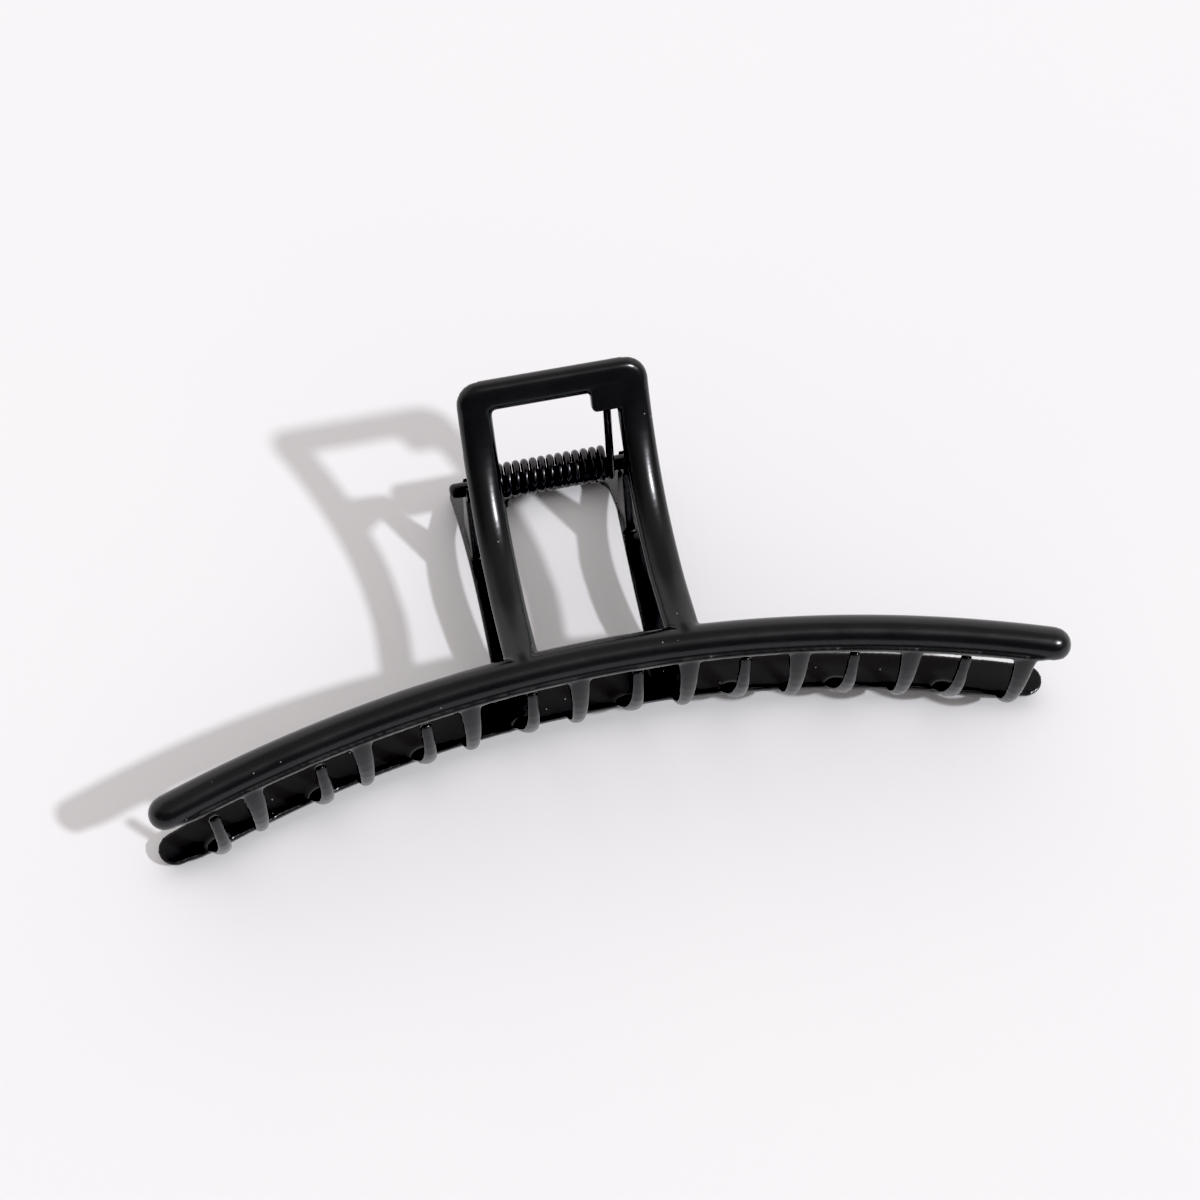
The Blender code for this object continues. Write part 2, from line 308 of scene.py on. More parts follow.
def turn_and_move(piece, turn, place):
    """Turns all of the piece that is open and moves it. What was selected stays selected."""
    bpy.ops.object.mode_set(mode="OBJECT")
    piece.rotation_euler = turn
    piece.location = Vector(place) * MM
    bpy.ops.object.transform_apply(location=True, rotation=True, scale=True)
    bpy.ops.object.mode_set(mode="EDIT")


def stand(piece, turn, place):
    """Turns the blank and sets it in its place, with its face selected."""
    turn_and_move(piece, turn, place)
    bpy.ops.mesh.select_all(action="SELECT")


def draw_on(step):
    """Extrudes the selected end by a step."""
    bpy.ops.mesh.extrude_region_move(TRANSFORM_OT_translate={"value": Vector(step) * MM})


def turn_end(angle, axis, centre):
    """Turns the selected end face about an axis through a centre. The operator counts the other way."""
    bpy.ops.transform.rotate(value=-angle, orient_axis=axis, orient_type="GLOBAL",
                             center_override=Vector(centre) * MM)


def size_end(factors, centre):
    """Scales the selected end face about a centre."""
    bpy.ops.transform.resize(value=factors, center_override=Vector(centre) * MM)


def close_piece(piece):
    """Merges doubles, turns all faces outwards and leaves the piece unopened."""
    bpy.ops.mesh.select_all(action="SELECT")
    bpy.ops.mesh.remove_doubles(threshold=TOUCH)
    bpy.ops.mesh.normals_make_consistent(inside=False)
    bpy.ops.object.mode_set(mode="OBJECT")
    return piece


def apply_all(piece):
    """Applies the piece's modifiers in their order."""
    take_up(piece)
    for modifier in list(piece.modifiers):
        bpy.ops.object.modifier_apply(modifier=modifier.name)


def copied(piece, name):
    """Copy with a mesh of its own."""
    twin = piece.copy()
    twin.data = piece.data.copy()
    twin.name = name
    bpy.context.scene.collection.objects.link(twin)
    return twin


def place_mesh(piece, place):
    """Moves the mesh itself, so that the object stays at the origin."""
    take_up(piece)
    piece.matrix_world = place
    bpy.ops.object.transform_apply(location=True, rotation=True, scale=True)
    return piece


def lay_down(piece):
    """Turns a piece from the clip's own frame into the frame of the CAD model."""
    return place_mesh(piece, clip_place @ piece.matrix_world)


# Lines that the jaw follows

def share_of_way(value, start, end):
    """0 up to the start, 1 from the end on, and straight between them."""
    return max(0, min(1, (value - start) / (end - start)))


def eased(share):
    """The same share with a soft start and a soft end."""
    return share * share * (3 - 2 * share)


def leg_out(z):
    """Distance of the handle's flat inner side from the clip's middle plane at height z."""
    rise = z + LEG_WAIST_DOWN
    if rise >= 0:
        share = rise / (HANDLE_TOP + LEG_WAIST_DOWN)
        return LEG_WAIST_OUT + LEG_FLARE_TOP * share ** LEG_FLARE_POWER
    share = -rise / (BAR_DEPTH_BELOW - LEG_WAIST_DOWN)
    foot = FOOT_OUT * eased(share_of_way(z, FOOT_FROM, FOOT_LOW))
    return LEG_WAIST_OUT + LEG_FLARE_LOW * share ** LEG_LOW_POWER + foot


def leg_slope(z):
    """How fast the handle leans out at height z."""
    return (leg_out(z + SLOPE_STEP) - leg_out(z - SLOPE_STEP)) / (2 * SLOPE_STEP)


def leg_x(z):
    """Distance of the right leg's middle line from the clip's middle at height z."""
    share = (z + BAR_DEPTH_BELOW) / (HANDLE_TOP + BAR_DEPTH_BELOW)
    return LEG_X_LOW + (LEG_X_TOP - LEG_X_LOW) * share


def bar_face(x, lift):
    """Middle of the bar's flat inner face at x, on the front jaw."""
    u = x / BAR_HALF
    rise = lift[0] + lift[1] * u + lift[2] * u * u
    return Vector((x, -BAR_FACE_OUT + BAR_FACE_TURN_IN * u * u, rise - BAR_DEPTH_BELOW - BAR_SAG * u * u))


def bar_turn(x, lift):
    """Angle of the bar's run at x about Y."""
    u = x / BAR_HALF
    return atan((2 * (BAR_SAG - lift[2]) * u - lift[1]) / BAR_HALF)


# Jaw

def follow_bar(piece, stations, lift):
    """Stands the end face at the first station and draws it on: each station has an x and a size."""
    last_x, last_size = stations[0]
    place = bar_face(last_x, lift)
    stand(piece, (0, pi / 2 + bar_turn(last_x, lift), 0), place)
    size_end((last_size,) * 3, place)
    for x, size in stations[1:]:
        there = bar_face(x, lift)
        draw_on(there - place)
        turn_end(bar_turn(x, lift) - bar_turn(last_x, lift), "Y", there)
        size_end((size / last_size,) * 3, there)
        last_x, last_size, place = x, size, there


def draw_bar(lift):
    """Round-backed bar along its arc, with round ends."""
    corners = [(BAR_HEIGHT / 2, 0)]
    for i in range(BAR_SECTION_STEPS + 1):
        turn = pi * i / BAR_SECTION_STEPS
        corners.append((BAR_HEIGHT / 2 * cos(turn), -BAR_SIDE - BAR_BULGE * sin(turn)))
    corners += [(-BAR_HEIGHT / 2, 0)]
    piece = blank("bar", corners)
    ends = [(BAR_HALF - BAR_END_ROUND * (1 - sin(radians(a))), cos(radians(a))) for a in BAR_END_ANGLES]
    inner = [(i / BAR_STATIONS * BAR_HALF, 1) for i in range(2 - BAR_STATIONS, BAR_STATIONS - 1)]
    follow_bar(piece, [(-x, size) for x, size in ends] + inner + list(reversed(ends)), lift)
    return close_piece(piece)


def draw_lip(lift):
    """Thin edge below the bar, from which the teeth grow."""
    low = BAR_HEIGHT / 2 + LIP_HEIGHT
    piece = blank("lip", [(low, -LIP_BEHIND_FACE), (low, -LIP_THICK), (LIP_START, -LIP_THICK),
                          (LIP_START, -LIP_BEHIND_FACE)])
    reach = BAR_HALF - LIP_SHORTER
    ramp = [(reach - LIP_FADE * share, LIP_END_SIZE + (1 - LIP_END_SIZE) * share * (2 - share))
            for share in LIP_FADE_SHARES]
    inner = [(i / LIP_STATIONS * (reach - LIP_FADE), 1) for i in range(1 - LIP_STATIONS, LIP_STATIONS)]
    follow_bar(piece, [(-x, size) for x, size in ramp] + inner + list(reversed(ramp)), lift)
    return close_piece(piece)


def tooth_width(share):
    """Width at a share of the tooth's length: quickly down to the neck, then slowly to the tip."""
    if share < NECK_AT:
        return TOOTH_ROOT + (TOOTH_NECK - TOOTH_ROOT) * sqrt(share / NECK_AT)
    width = TOOTH_NECK + (TOOTH_MID - TOOTH_NECK) * share_of_way(share, NECK_AT, MID_AT)
    return width - (TOOTH_MID - TOOTH_TIP) * share_of_way(share, MID_AT, TIP_AT) ** TAPER_POWER


def draw_tooth():
    """One tooth below the origin, as at the middle of a bar: flared root, shallow arc, blunt tip."""
    corners = []
    for i in range(TOOTH_SIDES):
        turn = 2 * pi * (i + 0.5) / TOOTH_SIDES
        corners.append((TOOTH_ROOT / 2 * cos(turn), TOOTH_THICK / 2 * sin(turn)))
    piece = blank("tooth", corners)
    start = Vector((0, -TOOTH_BEHIND_FACE, -BAR_HEIGHT / 2 + TOOTH_SINK))
    stand(piece, (-pi / 2, 0, 0), start)
    last = (start, 0.0, TOOTH_ROOT, TOOTH_THICK)
    for share in TOOTH_STATIONS:
        dip = TOOTH_DIP * 4 * share * (1 - share) + TOOTH_DROP * min(1, TOOTH_DROP_RATE * share)
        centre = start + Vector((0, share * TOOTH_REACH, -dip))
        tilt = atan(TOOTH_DIP * 4 * (1 - 2 * share) / TOOTH_REACH)
        size = TOOTH_END_SIZE if share == 1 else 1
        width = tooth_width(share) * size
        thick = TOOTH_THICK * (1 - TOOTH_THINNING * share) * size
        draw_on(centre - last[0])
        turn_end(last[1] - tilt, "X", centre)
        size_end((width / last[2], thick / last[3], thick / last[3]), centre)
        last = (centre, tilt, width, thick)
    return close_piece(piece)


def corner_reach(turn, wide, high):
    """Distance from the window's corner to the round outer corner, at an angle from X."""
    cx, cy = wide - CORNER_OUT, high - CORNER_OUT
    if turn <= atan2(cy, wide):
        return wide / cos(turn)
    if turn >= atan2(high, cx):
        return high / sin(turn)
    dot = cos(turn) * cx + sin(turn) * cy
    return dot + sqrt(dot * dot - cx * cx - cy * cy + CORNER_OUT ** 2)


def handle_axes():
    """Directions up along and out from the handle's flat top part."""
    slope = leg_slope(HANDLE_TOP)
    up = Vector((0, -slope, 1)).normalized()
    return up, Vector((0, -up.z, up.y))


def waist_cut(z, waist):
    """How much narrower the leg is on its window side at height z: most beside the hinge."""
    if z > 0:
        return waist * share_of_way(z, WAIST_END_HIGH, WAIST_FULL_HIGH)
    return waist * share_of_way(z, WAIST_END_LOW, WAIST_FULL_LOW) ** WAIST_LOW_POWER


def leg_swell(z):
    """Roundness of the leg's back at height z: flat at the top, full beside the hinge, more at the foot."""
    swell = TOP_SWELL + (1 - TOP_SWELL) * eased(share_of_way(z, ROUND_FROM, ROUND_TO))
    return swell + FOOT_SWELL * share_of_way(z, SWELL_FROM, FOOT_LOW) ** 2


def swell_end(piece, place, turn, factor):
    """Lifts the back of the leg's end face by a factor, above the depth at which the flat begins."""
    out = Vector((0, -cos(turn), -sin(turn)))
    ring = picked(piece, lambda point: True)
    back = picked(piece, lambda point: (point.co / MM - place).dot(out) > FLAT_FROM + TOUCH / MM)
    bpy.ops.mesh.select_mode(type="VERT")
    pick(piece, lambda point: point.index in back)
    basis = Matrix(((1, 0, 0), out, Vector((1, 0, 0)).cross(out))).transposed()
    bpy.ops.transform.resize(value=(1, factor, 1), orient_type="GLOBAL", orient_matrix=basis,
                             orient_matrix_type="GLOBAL", center_override=(place + out * FLAT_FROM) * MM)
    pick(piece, lambda point: point.index in ring)
    bpy.ops.mesh.select_mode(type="FACE")


def leg_section():
    """Corners of the leg's section as it is at the handle's top: a low back with a flat on it."""
    corners = [(LEG_HALF, 0)]
    for i in range(LEG_SECTION_STEPS + 1):
        turn = pi * i / LEG_SECTION_STEPS
        depth = LEG_SIDE + (LEG_CROWN - LEG_SIDE) * sin(turn)
        depth -= max(0, depth - FLAT_FROM) * (1 - TOP_SWELL)
        corners.append((LEG_HALF * cos(turn), -depth))
    return corners + [(-LEG_HALF, 0)]


def draw_corner(half, middle):
    """Carries the end face round the window's corner at the origin, from the top bar to the leg."""
    wide, high = 2 * LEG_HALF + CORNER_IN, TOP_BAR + CORNER_IN
    for angle in range(90 - CORNER_STEP, -1, -CORNER_STEP):
        turn = radians(angle)
        away = Vector((cos(turn), 0, sin(turn)))
        basis = Matrix((away, (0, 1, 0), away.cross(Vector((0, 1, 0))))).transposed()
        far = corner_reach(turn, wide, high)
        draw_on((0, 0, 0))
        turn_end(radians(CORNER_STEP), "Y", (0, 0, 0))
        new_middle, new_half = (far + CORNER_IN) / 2, (far - CORNER_IN) / 2
        bpy.ops.transform.resize(value=(new_half / half, 1, 1), orient_type="GLOBAL", orient_matrix=basis,
                                 orient_matrix_type="GLOBAL", center_override=away * middle * MM)
        bpy.ops.transform.translate(value=away * (new_middle - middle) * MM)
        middle, half = new_middle, new_half


def draw_leg(piece, start, tilt, waist):
    """Carries the end face down to the bar from height start, where it still has the top bar's tilt."""
    place = Vector((leg_x(start), -leg_out(start), start))
    turn_end(atan(leg_slope(start)) - tilt, "X", place)
    low = -BAR_DEPTH_BELOW + LEG_END_RISE
    tilt, width, swell = atan(leg_slope(start)), 2 * LEG_HALF, TOP_SWELL
    for i in range(1, LEG_STATIONS + 1):
        z = start + (low - start) * i / LEG_STATIONS
        cut = waist_cut(z, waist)
        there = Vector((leg_x(z) + cut / 2, -leg_out(z), z))
        turn = atan(leg_slope(z))
        draw_on(there - place)
        turn_end(turn - tilt, "X", there)
        size_end(((2 * LEG_HALF - cut) / width, 1, 1), there)
        rounder = leg_swell(z)
        if rounder > swell:
            swell_end(piece, there, turn, rounder / swell)
        place, tilt, width, swell = there, turn, 2 * LEG_HALF - cut, rounder


def draw_handle(waist):
    """Right half of the loop, drawn along the top, round the corner and down the leg, then mirrored."""
    piece = blank("handle", leg_section())
    up, _ = handle_axes()
    pivot_z = HANDLE_TOP - TOP_BAR / 2 * up.z - CORNER_IN * up.z
    pivot_x = leg_x(pivot_z) - LEG_HALF - CORNER_IN
    half = TOP_BAR / 2
    middle = CORNER_IN + half
    stand(piece, (0, pi / 2, 0), (-pivot_x, 0, middle))
    size_end((1, 1, half / LEG_HALF), (-pivot_x, 0, middle))
    for _ in range(TOP_STATIONS):
        draw_on((pivot_x / TOP_STATIONS, 0, 0))
    draw_corner(half, middle)
    tilt = atan(leg_slope(HANDLE_TOP))
    turn_and_move(piece, (tilt, 0, 0), (pivot_x, -leg_out(pivot_z), pivot_z))
    draw_leg(piece, pivot_z, tilt, waist)
    pick(piece, lambda point: abs(point.co.x) < TOUCH)
    bpy.ops.mesh.delete(type="ONLY_FACE")
    bpy.ops.object.mode_set(mode="OBJECT")
    mirror = piece.modifiers.new("other half", "MIRROR")
    mirror.use_axis[0] = True
    mirror.merge_threshold = 10 * TOUCH
    apply_all(piece)
    bpy.ops.object.mode_set(mode="EDIT")
    return close_piece(piece)


def draw_rest():
    """Tab in the window's corner that the spring's arm pushes on, with its free corner rounded."""
    up, out = handle_axes()
    z = HANDLE_TOP - (TOP_BAR / 2 + REST_HIGH / 2 - REST_SINK / 2) * up.z
    right = leg_x(z) - LEG_HALF + REST_SINK
    wide, high = REST_WIDE + REST_SINK, REST_HIGH + REST_SINK
    piece = blank("rest", [(0, high / 2), (-wide, high / 2), (-wide, -high / 2), (0, -high / 2)])
    pick(piece, lambda point: point.co.x < -MM and point.co.y < 0)
    bpy.ops.mesh.bevel(offset=REST_ROUND * MM, segments=4, affect="VERTICES")
    bpy.ops.mesh.select_all(action="SELECT")
    draw_on((0, 0, REST_THICK))
    close_piece(piece)
    middle = Vector((right, -leg_out(z), z)) + out * REST_OUT
    basis = Matrix((Vector((1, 0, 0)), up, out)).transposed().to_4x4()
    return place_mesh(piece, Matrix.Translation(middle * MM) @ basis)


def draw_ear(x):
    """Hinge ear: an arm from the leg that hooks round the pin from below."""
    foot, top = -leg_out(EAR_FOOT), -leg_out(EAR_TOP)
    corners = [(foot - EAR_SINK, EAR_FOOT), (foot + EAR_FOOT_STEP, EAR_FOOT)]
    corners += [(EAR_ROUND * cos(radians(a)), EAR_ROUND * sin(radians(a))) for a in EAR_ROUND_ANGLES]
    corners += [(EAR_ROUND, EAR_LIP), (0, EAR_LIP), (0, EAR_ROUND), (top - EAR_SINK, EAR_TOP)]
    piece = blank("ear", corners)
    draw_on((0, 0, EAR_THICK))
    close_piece(piece)
    upright = Matrix(((0, 0, 1, 0), (1, 0, 0, 0), (0, 1, 0, 0), (0, 0, 0, 1)))
    place_mesh(piece, Matrix.Translation(((x - EAR_THICK / 2) * MM, 0, 0)) @ upright)
    deselect_everything()
    bpy.ops.mesh.primitive_cylinder_add(vertices=EAR_HOLE_SIDES, radius=EAR_HOLE * MM,
                                        depth=3 * EAR_THICK * MM, location=(x * MM, 0, 0),
                                        rotation=(0, pi / 2, 0))
    drill = bpy.context.active_object
    hole = piece.modifiers.new("pin hole", "BOOLEAN")
    hole.operation = "DIFFERENCE"
    hole.object = drill
    apply_all(piece)
    bpy.data.objects.remove(drill)
    return piece


def mould_jaw(name, lift, pitch, shift, waist):
    """All of one jaw fused into one moulding, with the small fillets that moulded corners have."""
    pieces = [draw_bar(lift), draw_lip(lift), draw_handle(waist), draw_rest()]
    pieces += [draw_ear(x) for x in EAR_PLACES]
    tooth = draw_tooth()
    for i in range(TEETH):
        x = (i - TEETH / 2 + 1 - shift) * pitch
        there = Matrix.Translation(bar_face(x, lift) * MM) @ Matrix.Rotation(bar_turn(x, lift), 4, "Y")
        pieces.append(place_mesh(copied(tooth, "tooth_%d" % i), there))
    bpy.data.objects.remove(tooth)
    deselect_everything()
    for piece in pieces:
        piece.select_set(True)
    jaw = pieces[0]
    bpy.context.view_layer.objects.active = jaw
    bpy.ops.object.join()
    jaw.name = name
    fuse = jaw.modifiers.new("fuse", "REMESH")
    fuse.mode = "VOXEL"
    fuse.voxel_size = VOXEL * MM
    soften = jaw.modifiers.new("soften", "SMOOTH")
    soften.factor = SMOOTH_FACTOR
    soften.iterations = SMOOTHING
    apply_all(jaw)
    bpy.ops.object.shade_smooth()
    return jaw


# Pin and spring

def draw_pin():
    """Round steel pin with rounded ends."""
    deselect_everything()
    bpy.ops.mesh.primitive_cylinder_add(vertices=PIN_SIDES, radius=PIN_RADIUS * MM, depth=2 * PIN_HALF * MM,
                                        location=(PIN_SHIFT * MM, 0, 0), rotation=(0, pi / 2, 0))
    bpy.ops.object.transform_apply(location=True, rotation=True, scale=True)
    piece = open_piece("hinge_pin_steel")
    bpy.ops.mesh.select_all(action="DESELECT")
    drawn = bmesh.from_edit_mesh(piece.data)
    for edge in drawn.edges:
        a, b = (point.co for point in edge.verts)
        edge.select = abs(a.x - b.x) < TOUCH
    bmesh.update_edit_mesh(piece.data)
    bpy.ops.mesh.select_mode(type="EDGE")
    bpy.ops.mesh.bevel(offset=PIN_ROUND * MM, segments=6)
    close_piece(piece)
    bpy.ops.object.shade_smooth_by_angle(angle=PIN_SMOOTH_UNDER)
    return piece


def draw_coil(name, first_turn, first_x, turns):
    """Close-wound wire: its round section is screwed along the pin."""
    deselect_everything()
    centre = Vector((first_x, COIL_RADIUS * cos(first_turn), COIL_RADIUS * sin(first_turn)))
    bpy.ops.mesh.primitive_circle_add(vertices=WIRE_SIDES, radius=WIRE_RADIUS * MM, fill_type="NOTHING")
    piece = bpy.context.active_object
    piece.name = name
    place_mesh(piece, Matrix.Translation(centre * MM) @ Matrix.Rotation(first_turn, 4, "X"))
    screw = piece.modifiers.new("wind", "SCREW")
    screw.axis = "X"
    screw.angle = -turns * 2 * pi
    screw.screw_offset = turns * COIL_PITCH * MM
    screw.steps = screw.render_steps = round(turns * COIL_STEPS)
    screw.use_merge_vertices = False
    apply_all(piece)
    return piece


def end_ring(piece, x):
    """Selects the open end of the wire that lies nearest to x."""
    bpy.ops.object.mode_set(mode="EDIT")
    bpy.ops.mesh.select_mode(type="VERT")
    bpy.ops.mesh.select_all(action="DESELECT")
    bpy.ops.mesh.select_non_manifold()
    ring = picked(piece, lambda point: abs(point.co.x - x * MM) < WIRE_END_REACH * MM)
    pick(piece, lambda point: point.index in ring)


def round_off(direction, centre):
    """Rounds the wire's end with two smaller rings and closes it."""
    along = Vector(direction).normalized()
    place = Vector(centre)
    for step, size in WIRE_TIP:
        draw_on(along * step)
        place = place + along * step
        size_end((size,) * 3, place)
    bpy.ops.mesh.edge_face_add()


def draw_arm(piece, x, side, lean_in):
    """Straight arm from the coil's end at x to the handle's rest; side is +1 for the rear one."""
    centre = Vector((x, side * COIL_RADIUS * cos(ARM_LEAN), -COIL_RADIUS * sin(ARM_LEAN)))
    run = Vector((lean_in, side * sin(ARM_LEAN) * ARM_LENGTH, cos(ARM_LEAN) * ARM_LENGTH))
    end_ring(piece, x)
    draw_on(run * 0.5)
    draw_on(run * 0.5)
    round_off(run, centre + run)
    bpy.ops.object.mode_set(mode="OBJECT")


def cap_coil(piece, x):
    """Closes the coil's open end at x with a flat face."""
    end_ring(piece, x)
    bpy.ops.mesh.edge_face_add()
    bpy.ops.object.mode_set(mode="OBJECT")


def draw_spring():
    """Coil with the rear arm, and the last turn with the front arm, which moves with the front jaw."""
    joined_at = COIL_HALF - COIL_PITCH
    coil = draw_coil("spring_coil", -ARM_LEAN, -COIL_HALF, COIL_TURNS - 1)
    draw_arm(coil, -COIL_HALF, 1, ARM_LEAN_IN)
    cap_coil(coil, joined_at)
    last_turn = -ARM_LEAN - (COIL_TURNS - 1) * 2 * pi
    arm = draw_coil("spring_front_arm", last_turn, joined_at, 1)
    draw_arm(arm, COIL_HALF, -1, -ARM_LEAN_IN)
    cap_coil(arm, joined_at)
    for piece in (coil, arm):
        take_up(piece)
        bpy.ops.object.mode_set(mode="EDIT")
        close_piece(piece)
        bpy.ops.object.shade_smooth_by_angle(angle=WIRE_SMOOTH_UNDER)
        place_mesh(piece, Matrix.Translation((0, 0, COIL_RISE * MM)))
    return coil, arm


# Materials

def new_group(name, inputs, outputs):
    """Node group with named sockets: (name, kind, default) for inputs and (name, kind) for outputs."""
    group = bpy.data.node_groups.new(name, "ShaderNodeTree")
    for label, kind, default in inputs:
        socket = group.interface.new_socket(label, in_out="INPUT", socket_type=kind)
        if default is not None:
            socket.default_value = default
    for label, kind in outputs:
        group.interface.new_socket(label, in_out="OUTPUT", socket_type=kind)
    return group, group.nodes.new("NodeGroupInput"), group.nodes.new("NodeGroupOutput")


def add_node(tree, kind, label, **settings):
    """Adds a node with a label of its own and these settings."""
    node = tree.nodes.new(kind)
    node.label = label
    for key, value in settings.items():
        setattr(node, key, value)
    return node


def feed(tree, node, **links):
    """Links or sets the node's inputs by name, with _ for a space, or by place as n0, n1 and so on."""
    for key, value in links.items():
        by_place = key[0] == "n" and key[1:].isdigit()
        socket = node.inputs[int(key[1:]) if by_place else key.replace("_", " ")]
        if isinstance(value, bpy.types.NodeSocket):
            tree.links.new(value, socket)
        else:
            socket.default_value = value


def group_grain():
    """Fine even grain of a moulded or drawn surface, as a normal."""
    group, given, made = new_group(
        "surface grain",
        [("Vector", "NodeSocketVector", None), ("Fineness", "NodeSocketFloat", 5200.0),
         ("Strength", "NodeSocketFloat", 0.2), ("Depth", "NodeSocketFloat", 0.00001)],
        [("Normal", "NodeSocketVector")])
    fine = add_node(group, "ShaderNodeTexNoise", "fine grain", noise_dimensions="3D")
    feed(group, fine, Vector=given.outputs["Vector"], Scale=given.outputs["Fineness"], Detail=3.0,
         Roughness=0.6)
    bump = add_node(group, "ShaderNodeBump", "grain relief")
    feed(group, bump, Strength=given.outputs["Strength"], Distance=given.outputs["Depth"],
         Height=fine.outputs["Fac"])
    feed(group, made, Normal=bump.outputs["Normal"])
    return group


def group_dust():
    """Sparse specks of dust and lint, as a mask from 0 to 1."""
    group, given, made = new_group(
        "dust specks",
        [("Vector", "NodeSocketVector", None), ("Spacing", "NodeSocketFloat", 420.0),
         ("Speck", "NodeSocketFloat", 0.06), ("Share", "NodeSocketFloat", 0.2)],
        [("Mask", "NodeSocketFloat")])
    cells = add_node(group, "ShaderNodeTexVoronoi", "one speck a cell", voronoi_dimensions="3D")
    feed(group, cells, Vector=given.outputs["Vector"], Scale=given.outputs["Spacing"], Randomness=1.0)
    near = add_node(group, "ShaderNodeMath", "within a speck", operation="LESS_THAN")
    feed(group, near, n0=cells.outputs["Distance"], n1=given.outputs["Speck"])
    split = add_node(group, "ShaderNodeSeparateColor", "cell's chance")
    feed(group, split, Color=cells.outputs["Color"])
    some = add_node(group, "ShaderNodeMath", "only some cells", operation="LESS_THAN")
    feed(group, some, n0=split.outputs["Red"], n1=given.outputs["Share"])
    both = add_node(group, "ShaderNodeMath", "speck there", operation="MULTIPLY")
    feed(group, both, n0=near.outputs["Value"], n1=some.outputs["Value"])
    feed(group, made, Mask=both.outputs["Value"])
    return group


def group_cloud():
    """Slow uneven change over the surface, spread from Low to High."""
    group, given, made = new_group(
        "handling marks",
        [("Vector", "NodeSocketVector", None), ("Size", "NodeSocketFloat", 120.0),
         ("Low", "NodeSocketFloat", 0.36), ("High", "NodeSocketFloat", 0.46)],
        [("Value", "NodeSocketFloat")])
    slow = add_node(group, "ShaderNodeTexNoise", "slow change", noise_dimensions="3D")
    feed(group, slow, Vector=given.outputs["Vector"], Scale=given.outputs["Size"], Detail=4.0, Roughness=0.55)
    spread = add_node(group, "ShaderNodeMapRange", "spread")
    feed(group, spread, Value=slow.outputs["Fac"], From_Min=0.3, From_Max=0.7,
         To_Min=given.outputs["Low"], To_Max=given.outputs["High"])
    feed(group, made, Value=spread.outputs["Result"])
    return group


def place_group(tree, group, label, vector, **values):
    """Sets a group in a material, with the values of its inputs."""
    node = add_node(tree, "ShaderNodeGroup", label, node_tree=group)
    feed(tree, node, Vector=vector, **values)
    return node


def new_material(name):
    """Material with its nodes, its shader and the place on the piece that its patterns read."""
    made = bpy.data.materials.new(name)
    made.use_nodes = True
    tree = made.node_tree
    where = add_node(tree, "ShaderNodeTexCoord", "place on the piece")
    return made, tree, tree.nodes["Principled BSDF"], where.outputs["Object"]


def blend_colour(tree, label, mask, plain, other):
    """Mixes two colours by a mask. Each may be a value or a socket."""
    mix = add_node(tree, "ShaderNodeMix", label, data_type="RGBA")
    tree.links.new(mask, mix.inputs[0])
    for socket, value in ((mix.inputs[6], plain), (mix.inputs[7], other)):
        if isinstance(value, bpy.types.NodeSocket):
            tree.links.new(value, socket)
        else:
            socket.default_value = (*value, 1)
    return mix.outputs[2]


def moulded_black():
    """Satin black moulded plastic: fine grain, uneven sheen, a little dust."""
    made, tree, shader, where = new_material("moulded_black_plastic")
    grain = place_group(tree, grain_group, "mould grain", where, Fineness=5200.0, Strength=0.12,
                        Depth=0.00001)
    tone = place_group(tree, cloud_group, "tone", where, Size=90.0, Low=0.0, High=1.0)
    sheen = place_group(tree, cloud_group, "sheen", where, Size=240.0, Low=0.2, High=0.26)
    dust = place_group(tree, dust_group, "dust", where, Spacing=480.0, Speck=0.04, Share=0.6)
    colour = blend_colour(tree, "uneven black", tone.outputs["Value"], PLASTIC_DEEP, PLASTIC_PALE)
    colour = blend_colour(tree, "dusted", dust.outputs["Mask"], colour, PLASTIC_DUST)
    feed(tree, shader, Base_Color=colour, Roughness=sheen.outputs["Value"], Normal=grain.outputs["Normal"],
         Specular_IOR_Level=PLASTIC_SHINE)
    return made


def blackened_steel(name, bright, rough):
    """Blackened steel of the wire and the pin: dark and glossy, with drawing marks and uneven oxide."""
    made, tree, shader, where = new_material(name)
    grain = place_group(tree, grain_group, "drawing marks", where, Fineness=7000.0, Strength=0.08,
                        Depth=0.000005)
    tone = place_group(tree, cloud_group, "oxide tone", where, Size=600.0, Low=0.0, High=1.0)
    sheen = place_group(tree, cloud_group, "oxide sheen", where, Size=900.0, Low=rough - OXIDE_SMOOTHER,
                        High=rough + OXIDE_ROUGHER)
    dark = tuple(OXIDE_SHADE * part for part in bright)
    colour = blend_colour(tree, "uneven oxide", tone.outputs["Value"], dark, bright)
    feed(tree, shader, Base_Color=colour, Roughness=sheen.outputs["Value"], Normal=grain.outputs["Normal"],
         Metallic=1.0)
    return made


def table_white():
    """Pale matt board with faint marks."""
    made, tree, shader, where = new_material("pale_table")
    tone = place_group(tree, cloud_group, "board tone", where, Size=9.0, Low=0.0, High=1.0)
    dust = place_group(tree, dust_group, "specks", where, Spacing=60.0, Speck=0.012, Share=0.3)
    colour = blend_colour(tree, "board", tone.outputs["Value"], BOARD_DEEP, BOARD_PALE)
    colour = blend_colour(tree, "specked board", dust.outputs["Mask"], colour, BOARD_SPECK)
    feed(tree, shader, Base_Color=colour, Roughness=BOARD_ROUGH)
    return made


def dress(piece, made):
    """Gives the piece this material alone."""
    piece.data.materials.clear()
    piece.data.materials.append(made)


# The pieces in their places

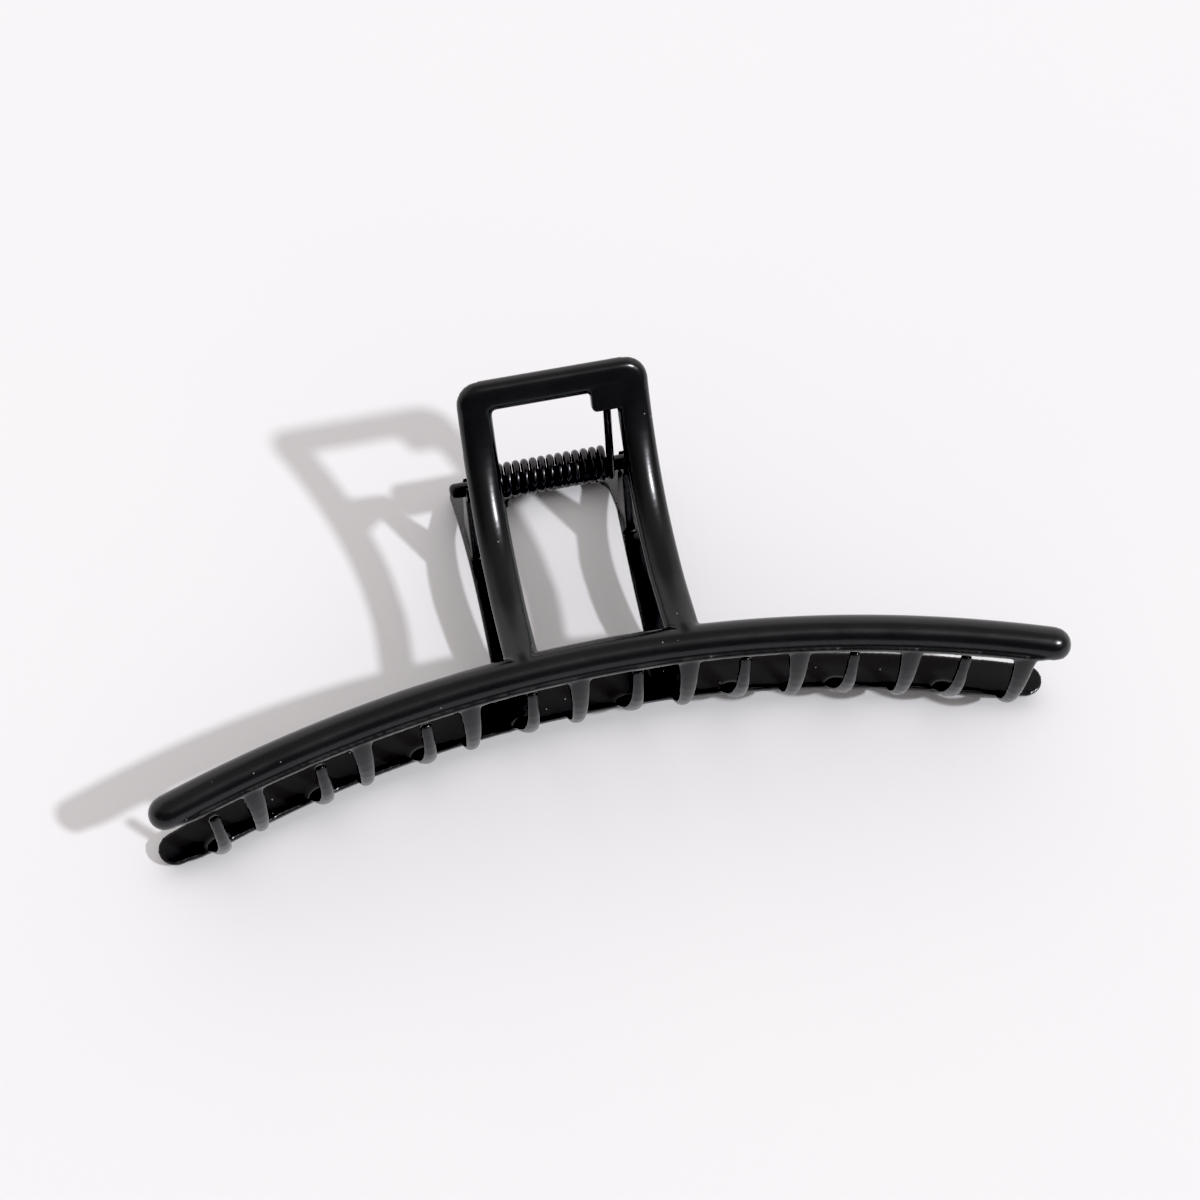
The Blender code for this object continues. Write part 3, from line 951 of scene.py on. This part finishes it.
front = mould_jaw("front_jaw_moulding", FRONT_LIFT, FRONT_PITCH, FRONT_SHIFT, 0)
rear = mould_jaw("rear_jaw_moulding", REAR_LIFT, REAR_PITCH, REAR_SHIFT, REAR_WAIST)
place_mesh(rear, Matrix.Rotation(pi, 4, "Z"))
pin = draw_pin()
coil, front_arm = draw_spring()
for piece in (front, rear, pin, coil, front_arm):
    lay_down(piece)

grain_group, dust_group, cloud_group = group_grain(), group_dust(), group_cloud()
plastic = moulded_black()
wire_steel = blackened_steel("blackened_spring_wire", WIRE_BRIGHT, WIRE_ROUGH)
pin_steel = blackened_steel("blackened_pin", PIN_BRIGHT, PIN_ROUGH)
for piece, made, body, node, slot in ((front, plastic, "front", "front_jaw", "black_plastic"),
                                      (rear, plastic, "rear", "rear_jaw", "black_plastic_rear"),
                                      (pin, pin_steel, "rear", "hinge_pin", "black_steel_pin"),
                                      (coil, wire_steel, "rear", "spring", "black_steel_wire"),
                                      (front_arm, wire_steel, "front", "spring", "black_steel_wire")):
    dress(piece, made)
    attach(piece, body)
    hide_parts(node)

# Table, camera and light

deselect_everything()
bpy.ops.mesh.primitive_plane_add(size=TABLE_SIDE, location=(0, 0, 0))
table = bpy.context.active_object
table.name = "table"
dress(table, table_white())

bpy.ops.object.camera_add()
camera = bpy.context.active_object
camera.data.sensor_width = FILM_WIDTH
camera.data.lens = CAMERA_FOCAL / PICTURE_SIDE * FILM_WIDTH
camera.data.clip_start = NEAREST_SEEN
camera.data.clip_end = FARTHEST_SEEN
looking = Matrix((CAMERA_RIGHT, -CAMERA_DOWN, -CAMERA_FORWARD)).transposed().to_4x4()
camera.matrix_world = clip_place @ Matrix.Translation(CAMERA_PLACE * MM) @ looking
bpy.context.scene.camera = camera
shown = bpy.context.scene.view_settings
shown.view_transform = "Standard"
shown.use_curve_mapping = True
shown.curve_mapping.black_level = (BLACK_LEVEL,) * 3
shown.curve_mapping.update()

bpy.ops.object.light_add(type="SUN")
key = bpy.context.active_object
key.data.energy = KEY_STRENGTH
key.data.angle = KEY_SPREAD
key.data.color = KEY_COLOUR
key.rotation_mode = "QUATERNION"
key.rotation_quaternion = KEY_DIRECTION.to_track_quat("Z", "Y")

world = bpy.data.worlds.new("studio")
bpy.context.scene.world = world
world.use_nodes = True
room = world.node_tree
looked_at = add_node(room, "ShaderNodeTexCoord", "direction")
parts = add_node(room, "ShaderNodeSeparateXYZ", "depth and height in the room")
feed(room, parts, Vector=looked_at.outputs["Generated"])
walls = add_node(room, "ShaderNodeMapRange", "brighter back wall", interpolation_type="SMOOTHSTEP")
feed(room, walls, Value=parts.outputs["Y"], From_Min=FRONT_WALL_TO, From_Max=BACK_WALL_FROM,
     To_Min=FRONT_WALL_LIGHT, To_Max=BACK_WALL_LIGHT)
whole = add_node(room, "ShaderNodeMapRange", "walls to ceiling", interpolation_type="SMOOTHSTEP")
feed(room, whole, Value=parts.outputs["Z"], From_Min=ROOM_WALL_TOP, From_Max=ROOM_CEILING,
     To_Min=walls.outputs["Result"], To_Max=CEILING_LIGHT)
feed(room, room.nodes["Background"], Color=ROOM_COLOUR, Strength=whole.outputs["Result"])

bpy.context.view_layer.update()
